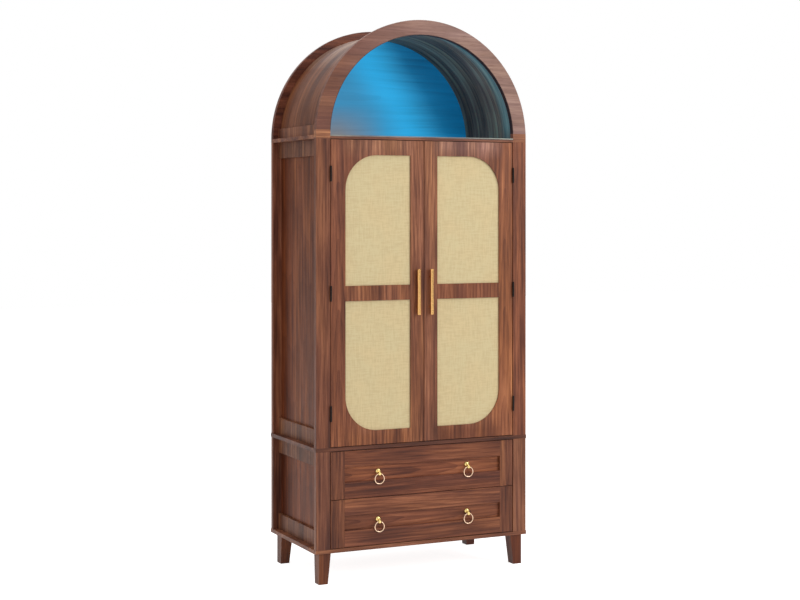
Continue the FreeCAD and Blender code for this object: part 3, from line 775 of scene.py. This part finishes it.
def stretchCloth(side, shift, values):
    node = side + "_woven_panel"
    low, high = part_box(node)
    count = [max(2, round((high[axis] - low[axis]) / values["step"])) for axis in (0, 2)]
    columns = [low[0] + (high[0] - low[0]) * i / count[0] for i in range(count[0] + 1)]
    rows = [low[2] + (high[2] - low[2]) * j / count[1] for j in range(count[1] + 1)]
    scale, (thin, long) = values["waveScale"], values["yarnScales"]

    def frontAt(x, z):
        wave = noiseField.noise((x * scale + shift, z * scale, shift))
        yarn = (noiseField.noise((x * thin, z * long, shift))
                + noiseField.noise((x * long, z * thin, values["crossYarnSeed"])))
        share = 0.5 + values["waveShare"] * wave + values["yarnShare"] * yarn
        return (x, low[1] + values["relief"] * min(1.0, max(0.0, share)), z)

    def backAt(x, z):
        return (x, high[1], z)

    grid = makeClosedGrid(columns, rows, frontAt, backAt)
    mesh = bpy.data.meshes.new(side + "_woven_cloth")
    grid.to_mesh(mesh)
    grid.free()
    mesh.materials.append(makeWoven(side + "WovenCloth", shift, values))
    mesh.polygons.foreach_set("use_smooth", [True] * len(mesh.polygons))
    mesh.set_sharp_from_angle(angle=math.radians(values["sharpAngle"]))
    cloth = addObject(side + "_woven_cloth", mesh)
    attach(cloth, side + "_door")
    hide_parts(node)


for side, shift in (("left", 0.7), ("right", 1.9)):
    stretchCloth(side, shift, woven)
print("the door panels are woven")


# Metals and plastics share a group for handling marks and fine unevenness

handled = {
    "gritScale": 9.0,
    "dullSpan": (0.42, 0.68),
    "spreadGain": 4.0,
    "leastRoughness": 0.05,
    "bump": 0.000010,  # of a finish that names none of its own
}


def makeHandled(values):
    tree, given, made = startGroup("handledSurface", "Shader", [
        ("Vector", "Vector", None), ("Scale", "Float", 60.0), ("Stretch", "Float", 1.0),
        ("Color", "Color", (0.5, 0.5, 0.5, 1)), ("Dull", "Color", (0.3, 0.3, 0.3, 1)),
        ("Dulling", "Float", 0.3), ("Roughness", "Float", 0.3), ("Spread", "Float", 0.1),
    ], [("Color", "Color"), ("Roughness", "Float"), ("Height", "Float")])
    longer = joined(tree, given["Scale"], given["Scale"],
                    calc(tree, "MULTIPLY", given["Scale"], given["Stretch"]))
    spread = calcVector(tree, "MULTIPLY", given["Vector"], longer)
    cloud = noise(tree, spread, 1.0, 3.0, 0.6)
    grit = noise(tree, spread, values["gritScale"], 2.0, 0.6)
    dull = calc(tree, "MULTIPLY", remap(tree, cloud, *values["dullSpan"]), given["Dulling"])
    plug(tree, made["Color"], blendColor(tree, dull, given["Color"], given["Dull"]))
    mean = blend(tree, "FLOAT", 0.5, cloud, grit)
    gain = calc(tree, "MULTIPLY", given["Spread"], values["spreadGain"])
    rough = calc(tree, "MULTIPLY_ADD", calc(tree, "SUBTRACT", mean, 0.5), gain, given["Roughness"])
    plug(tree, made["Roughness"], calc(tree, "MAXIMUM", rough, values["leastRoughness"]))
    plug(tree, made["Height"], grit)
    return tree


handledGroup = makeHandled(handled)

finishes = {
    "handleBrass": {
        "nodes": ["left_handle", "right_handle"],
        "look": {"Scale": 60.0, "Stretch": 0.05, "Color": (0.76, 0.43, 0.16, 1),
                 "Dull": (0.55, 0.30, 0.10, 1), "Dulling": 0.25, "Roughness": 0.24, "Spread": 0.05},
    },
    "pullBrass": {
        "nodes": ["lower_pull_posts", "upper_pull_posts"],
        "look": {"Scale": 140.0, "Color": (0.74, 0.56, 0.23, 1), "Dull": (0.42, 0.28, 0.06, 1),
                 "Dulling": 0.35, "Roughness": 0.20, "Spread": 0.06},
    },
    "ringBrass": {
        "nodes": ["lower_left_pull_ring", "lower_right_pull_ring", "upper_left_pull_ring",
                  "upper_right_pull_ring"],
        "look": {"Scale": 140.0, "Color": (0.74, 0.52, 0.37, 1), "Dull": (0.50, 0.33, 0.16, 1),
                 "Dulling": 0.30, "Roughness": 0.24, "Spread": 0.06},
    },
    "hingeBlack": {
        "nodes": ["hinge_frame_leaves", "hinge_pins", "right_hinge_leaves", "left_hinge_leaves"],
        "metallic": 0.0, "bump": 0.000020, "gloss": 0.10,
        "look": {"Scale": 260.0, "Color": (0.013, 0.009, 0.008, 1),
                 "Dull": (0.030, 0.024, 0.021, 1), "Dulling": 0.5, "Roughness": 0.55,
                 "Spread": 0.10},
    },
    "runnerSteel": {
        "nodes": ["runner_cabinet_members", "lower_runner_middle_members",
                  "upper_runner_middle_members", "lower_runner_drawer_members",
                  "upper_runner_drawer_members"],
        "look": {"Scale": 90.0, "Color": (0.42, 0.43, 0.44, 1), "Dull": (0.33, 0.34, 0.36, 1),
                 "Dulling": 0.5, "Roughness": 0.40, "Spread": 0.05},
    },
    "pinSteel": {
        "nodes": ["shelf_pins"], "bump": 0.000008,
        "look": {"Scale": 200.0, "Color": (0.60, 0.59, 0.57, 1), "Dull": (0.40, 0.39, 0.37, 1),
                 "Dulling": 0.4, "Roughness": 0.25, "Spread": 0.08},
    },
    "strikeSteel": {
        "nodes": ["left_strike_plate", "right_strike_plate"],
        "look": {"Scale": 120.0, "Stretch": 0.1, "Color": (0.55, 0.55, 0.54, 1),
                 "Dull": (0.38, 0.38, 0.37, 1), "Dulling": 0.5, "Roughness": 0.32, "Spread": 0.10},
    },
    "magnetDark": {
        "nodes": ["catch_magnets"], "metallic": 0.3, "bump": 0.000030,
        "look": {"Scale": 300.0, "Color": (0.045, 0.045, 0.05, 1), "Dull": (0.09, 0.09, 0.09, 1),
                 "Dulling": 0.5, "Roughness": 0.50, "Spread": 0.10},
    },
    "catchPlastic": {
        "nodes": ["door_catch"], "metallic": 0.0, "bump": 0.000040,
        "look": {"Scale": 420.0, "Color": (0.150, 0.080, 0.052, 1),
                 "Dull": (0.105, 0.055, 0.035, 1), "Dulling": 0.5, "Roughness": 0.48,
                 "Spread": 0.06},
    },
    "controllerPlastic": {
        "nodes": ["led_controller"], "metallic": 0.0, "bump": 0.000040,
        "look": {"Scale": 420.0, "Color": (0.024, 0.024, 0.025, 1),
                 "Dull": (0.040, 0.040, 0.042, 1), "Dulling": 0.5, "Roughness": 0.45,
                 "Spread": 0.06},
    },
}


def makeHandledFinish(name, values):
    material, tree, shader = startMaterial(name, Metallic=values.get("metallic", 1.0),
                                           Specular_IOR_Level=values.get("gloss", 0.5))
    surface = placeGroup(tree, handledGroup, Vector=objectPlace(tree), **values["look"])
    wear(tree, shader, surface, values.get("bump", handled["bump"]))
    return material


finishMaterials = {name: makeHandledFinish(name, values) for name, values in finishes.items()}
for name, values in finishes.items():
    for piece in values["nodes"]:
        dress(piece, finishMaterials[name])


# Pale boards inside the drawers

drawerBoard = {
    "direction": "across",
    "contrast": 0.6,
    "streak": 0.014,
    "gloss": 0.25,
    "palette": {"dark": (0.260, 0.175, 0.105), "middle": (0.400, 0.285, 0.185),
                "light": (0.520, 0.395, 0.275)},
}
drawerShifts = {"lower_drawer_box": 40.0, "upper_drawer_box": 41.7, "lower_drawer_bottom": 43.4,
                "upper_drawer_bottom": 45.1}
for piece, shift in drawerShifts.items():
    dress(piece, makeWalnut(piece + "Board", shift=shift, **drawerBoard))


# The light strip's clear cover glows in spots, one over each diode

lightStrip = {
    "until": -0.157,  # Y where the strip ends and its lead begins
    "pitch": 0.0166,
    "spotSpan": (-0.4, 1.0),
    "dim": (0.16, 0.40, 0.62, 1),
    "bright": (0.50, 0.80, 1.0, 1),
    "coverDim": (0.30, 0.42, 0.50, 1),
    "coverBright": (0.60, 0.70, 0.75, 1),
}


def makeLightStrip(values):
    material, tree, shader = startMaterial("lightStripCover", Roughness=0.35, Emission_Strength=1.4)
    parts = split(tree, objectPlace(tree))
    length = split(tree, archPlace(tree, parts)[0])["Z"]
    beat = calc(tree, "SINE", calc(tree, "MULTIPLY", length, math.tau / values["pitch"]))
    spot = remap(tree, beat, *values["spotSpan"])
    onStrip = calc(tree, "LESS_THAN", parts["Y"], values["until"])
    glow = blendColor(tree, spot, values["dim"], values["bright"])
    feed(tree, shader, Emission_Color=blendColor(tree, onStrip, black, glow),
         Base_Color=blendColor(tree, spot, values["coverDim"], values["coverBright"]))
    return material


dress("led_strip", makeLightStrip(lightStrip))
print("metals, plastics, inner boards and the light strip are finished")


# Small repeated pieces are grown by Geometry Nodes from plain points, one mesh for each kind of
# piece, hung on its body

def startGrower(name, inputs):
    return startGroup(name, "Geometry", [("Geometry", "Geometry", None)] + inputs,
                      [("Geometry", "Geometry")])


# Puts the given shape on every point, with its Z along the point's facing
def growOnPoints(tree, given, made, shape):
    facing = addNode(tree, "GeometryNodeInputNamedAttribute", {"data_type": "FLOAT_VECTOR"},
                     Name="facing")
    turn = addNode(tree, "FunctionNodeAlignRotationToVector", {"axis": "Z"},
                   Vector=facing.outputs["Attribute"])
    grown = addNode(tree, "GeometryNodeInstanceOnPoints", Points=given["Geometry"], Instance=shape,
                    Rotation=turn.outputs[0])
    plain = addNode(tree, "GeometryNodeRealizeInstances", Geometry=grown.outputs[0])
    done = addNode(tree, "GeometryNodeSetMaterial", Geometry=plain.outputs[0],
                   Material=given["Material"])
    plug(tree, made["Geometry"], done.outputs[0])


def block(tree, width, depth, height, lift=0.0):
    cube = addNode(tree, "GeometryNodeMeshCube", Size=joined(tree, width, depth, height)).outputs[0]
    return addNode(tree, "GeometryNodeTransform", Geometry=cube,
                   Translation=joined(tree, 0.0, 0.0, lift)).outputs[0]


def makeScrewTree():
    tree, given, made = startGrower("crossHeadScrews", [
        ("Radius", "Float", 0.0022), ("Height", "Float", 0.0002), ("Slot Width", "Float", 0.0006),
        ("Slot Length", "Float", 0.0026), ("Material", "Material", None)])
    head = addNode(tree, "GeometryNodeMeshCylinder", Vertices=16, Radius=given["Radius"],
                   Depth=calc(tree, "MULTIPLY", given["Height"], 2.0)).outputs[0]
    cutter = addNode(tree, "GeometryNodeMeshBoolean", {"operation": "UNION"})
    for width, depth in (("Slot Width", "Slot Length"), ("Slot Length", "Slot Width")):
        bar = block(tree, given[width], given[depth], given["Height"], given["Height"])
        feed(tree, cutter, Mesh_2=bar)
    cut = addNode(tree, "GeometryNodeMeshBoolean", {"operation": "DIFFERENCE"}, Mesh_1=head,
                  Mesh_2=cutter.outputs[0])
    growOnPoints(tree, given, made, cut.outputs[0])
    return tree


def makeNailTree():
    tree, given, made = startGrower("roundNailHeads", [
        ("Radius", "Float", 0.0014), ("Height", "Float", 0.0006), ("Material", "Material", None)])
    ball = addNode(tree, "GeometryNodeMeshUVSphere", Segments=12, Rings=6, Radius=given["Radius"])
    flat = joined(tree, 1.0, 1.0, calc(tree, "DIVIDE", given["Height"], given["Radius"]))
    head = addNode(tree, "GeometryNodeTransform", Geometry=ball.outputs[0], Scale=flat).outputs[0]
    growOnPoints(tree, given, made, head)
    return tree


def makeRibTree():
    tree, given, made = startGrower("raisedRibs", [
        ("Width", "Float", 0.0016), ("Length", "Float", 0.016), ("Height", "Float", 0.0008),
        ("Material", "Material", None)])
    growOnPoints(tree, given, made, block(tree, given["Width"], given["Length"], given["Height"]))
    return tree


# Points and the way each one faces, in the cabinet's frame
def growPieces(name, tree, points, material, body, slot, **sizes):
    mesh = bpy.data.meshes.new(name)
    mesh.from_pydata([place for place, facing in points], [], [])
    facings = mesh.attributes.new("facing", "FLOAT_VECTOR", "POINT")
    facings.data.foreach_set("vector", [value for place, facing in points for value in facing])
    piece = addObject(name, mesh)
    modifier = piece.modifiers.new(name, "NODES")
    modifier.node_group = tree
    sockets = {item.name: item.identifier for item in tree.interface.items_tree
               if item.in_out == "INPUT"}
    modifier[sockets["Material"]] = material
    for label, value in sizes.items():
        modifier[sockets[label.replace("_", " ")]] = value
    graph = bpy.context.evaluated_depsgraph_get()
    grown = bpy.data.meshes.new_from_object(piece.evaluated_get(graph))
    piece.modifiers.remove(modifier)
    piece.data = grown
    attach(piece, body)


screwTree, nailTree, ribTree = makeScrewTree(), makeNailTree(), makeRibTree()
toBack = (0.0, 1.0, 0.0)

hinge = {
    "heights": (0.533, 0.909, 1.285),
    "screwSpacing": 0.016,
    "depth": -0.1812,
    "frameFace": 0.3262,
    "doorFace": 0.3258,
    "headHeight": 0.00012,
}


def hingeScrews(side, face, facing):
    return [((side * face, hinge["depth"], height + step * hinge["screwSpacing"]),
             (facing, 0.0, 0.0)) for height in hinge["heights"] for step in (-1, 0, 1)]


frameScrews = hingeScrews(1, hinge["frameFace"], -1.0) + hingeScrews(-1, hinge["frameFace"], 1.0)
growPieces("hinge_frame_screws", screwTree, frameScrews, finishMaterials["hingeBlack"], "carcass",
           "hinge_black", Height=hinge["headHeight"])
for side, sign in (("left", -1), ("right", 1)):
    growPieces(side + "_hinge_screws", screwTree, hingeScrews(sign, hinge["doorFace"], float(sign)),
               finishMaterials["hingeBlack"], side + "_door", "hinge_black",
               Height=hinge["headHeight"])

# Screws that hold the fronts on the drawer boxes, seen from inside an open drawer
drawerScrews = {"across": (-0.22, -0.08, 0.08, 0.22), "up": (-0.030, 0.030), "wall": 0.012,
                "height": 0.0006, "radius": 0.0036, "slot": 0.0044, "slotWidth": 0.0009}
for level in ("lower", "upper"):
    low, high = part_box(level + "_drawer_front_panel")
    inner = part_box(level + "_drawer_box")[0][1] + drawerScrews["wall"]
    middle = (low[2] + high[2]) / 2
    points = [((x, inner, middle + rise), toBack)
              for x in drawerScrews["across"] for rise in drawerScrews["up"]]
    growPieces(level + "_drawer_front_screws", screwTree, points, finishMaterials["runnerSteel"],
               level + "_drawer", "runner_steel", Radius=drawerScrews["radius"],
               Height=drawerScrews["height"], Slot_Length=drawerScrews["slot"],
               Slot_Width=drawerScrews["slotWidth"])

# Nail heads along the edges of the back boards
backNails = {"spacing": 0.070, "inset": 0.007, "radius": 0.0017, "height": 0.0005, "archSteps": 18}


def evenly(low, high, spacing):
    count = max(1, round((high - low) / spacing))
    return [low + (high - low) * i / count for i in range(count + 1)]


points = []
inset = backNails["inset"]
for board in ("lower_back_panel", "upper_back_panel"):
    low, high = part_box(board)
    left, right, bottom, top = low[0] + inset, high[0] - inset, low[2] + inset, high[2] - inset
    for x in evenly(left, right, backNails["spacing"]):
        points += [((x, high[1], z), toBack) for z in (bottom, top)]
    for z in evenly(bottom, top, backNails["spacing"])[1:-1]:
        points += [((x, high[1], z), toBack) for x in (left, right)]
low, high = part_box("niche_back_panel")
reach = (high[0] - low[0]) / 2 - inset
for step in range(backNails["archSteps"] + 1):
    angle = math.pi * step / backNails["archSteps"]
    rise = inset + (reach - inset) * math.sin(angle)
    points.append(((reach * math.cos(angle), high[1], archHeight + rise), toBack))
growPieces("back_board_nails", nailTree, points, finishMaterials["pinSteel"], "carcass", "pin_steel",
           Radius=backNails["radius"], Height=backNails["height"])

# Diodes along the light strip
diodes = {"count": 62, "radius": 0.3425, "behindFront": 0.005, "width": 0.005, "length": 0.0028,
          "height": 0.0016, "cloudScale": 900.0, "blue": (0.55, 0.82, 1.0, 1),
          "pale": (0.80, 0.95, 1.0, 1)}


def makeDiode(values):
    material, tree, shader = startMaterial("diodeLens", Roughness=0.20, Emission_Strength=2.0)
    cloud = noise(tree, objectPlace(tree), values["cloudScale"], 1.0)
    color = blendColor(tree, cloud, values["blue"], values["pale"])
    feed(tree, shader, Emission_Color=color, Base_Color=color)
    return material


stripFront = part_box("led_strip")[0][1]
points = []
for step in range(diodes["count"]):
    angle = math.pi * (step + 0.5) / diodes["count"]
    outX, outZ = math.cos(angle), math.sin(angle)
    points.append(((diodes["radius"] * outX, stripFront + diodes["behindFront"],
                    archHeight + diodes["radius"] * outZ), (-outX, 0.0, -outZ)))
growPieces("light_strip_diodes", ribTree, points, makeDiode(diodes), "carcass", "light_strip",
           Width=diodes["width"], Length=diodes["length"], Height=diodes["height"])

# Ribs on the controller's cover
ribs = {"count": 7, "spacing": 0.0055, "width": 0.0018, "length": 0.016, "height": 0.0012}
low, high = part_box("led_controller")
centre, middle = (low[0] + high[0]) / 2, (low[2] + high[2]) / 2
points = [((centre + (step - ribs["count"] // 2) * ribs["spacing"], high[1], middle), toBack)
          for step in range(ribs["count"])]
growPieces("controller_ribs", ribTree, points, finishMaterials["controllerPlastic"], "carcass",
           "controller_plastic", Width=ribs["width"], Length=ribs["length"], Height=ribs["height"])
print("small pieces are grown")
